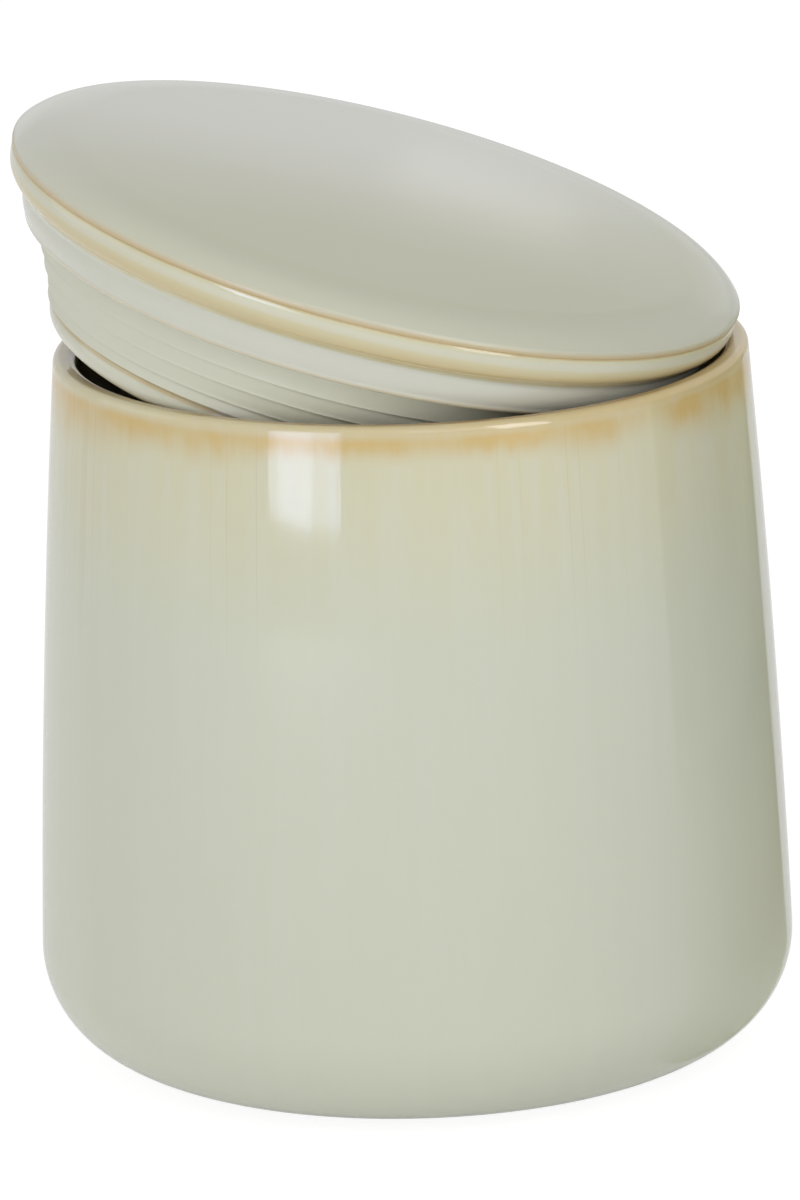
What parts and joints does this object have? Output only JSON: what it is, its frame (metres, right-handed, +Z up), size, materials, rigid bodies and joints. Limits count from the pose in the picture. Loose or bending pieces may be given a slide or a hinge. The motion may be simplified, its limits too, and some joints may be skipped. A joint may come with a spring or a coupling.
{
  "type": "storage canister",
  "caption": "Flared stoneware storage canister with rounded base corner, and a flat disc lid with collar and ribbed silicone seal, leaning tipped in the open mouth.",
  "frame": {"origin": "on the table, at the centre of the foot ring, on the jar's axis", "axes": "+Z up along the jar's axis, +X towards the low side of the leaning lid, -Y towards the viewer"},
  "size_m": [0.138, 0.1378, 0.174],
  "materials": {
    "jar_glaze": "gloss reactive glaze, grey-green with ochre at the rim",
    "lid_glaze": "gloss reactive glaze, grey-green with ochre at the edges",
    "seal_silicone": "satin grey-green silicone"
  },
  "bodies": {
    "jar": {"jar_body": "jar_glaze"},
    "lid": {"lid": "lid_glaze", "seal_ring": "seal_silicone"}
  },
  "joints": [
    {"name": "lid_lift", "type": "slide", "parent": "jar", "child": "lid", "axis": [0, 0, 1], "range_m": [0, 0.08]}
  ]
}
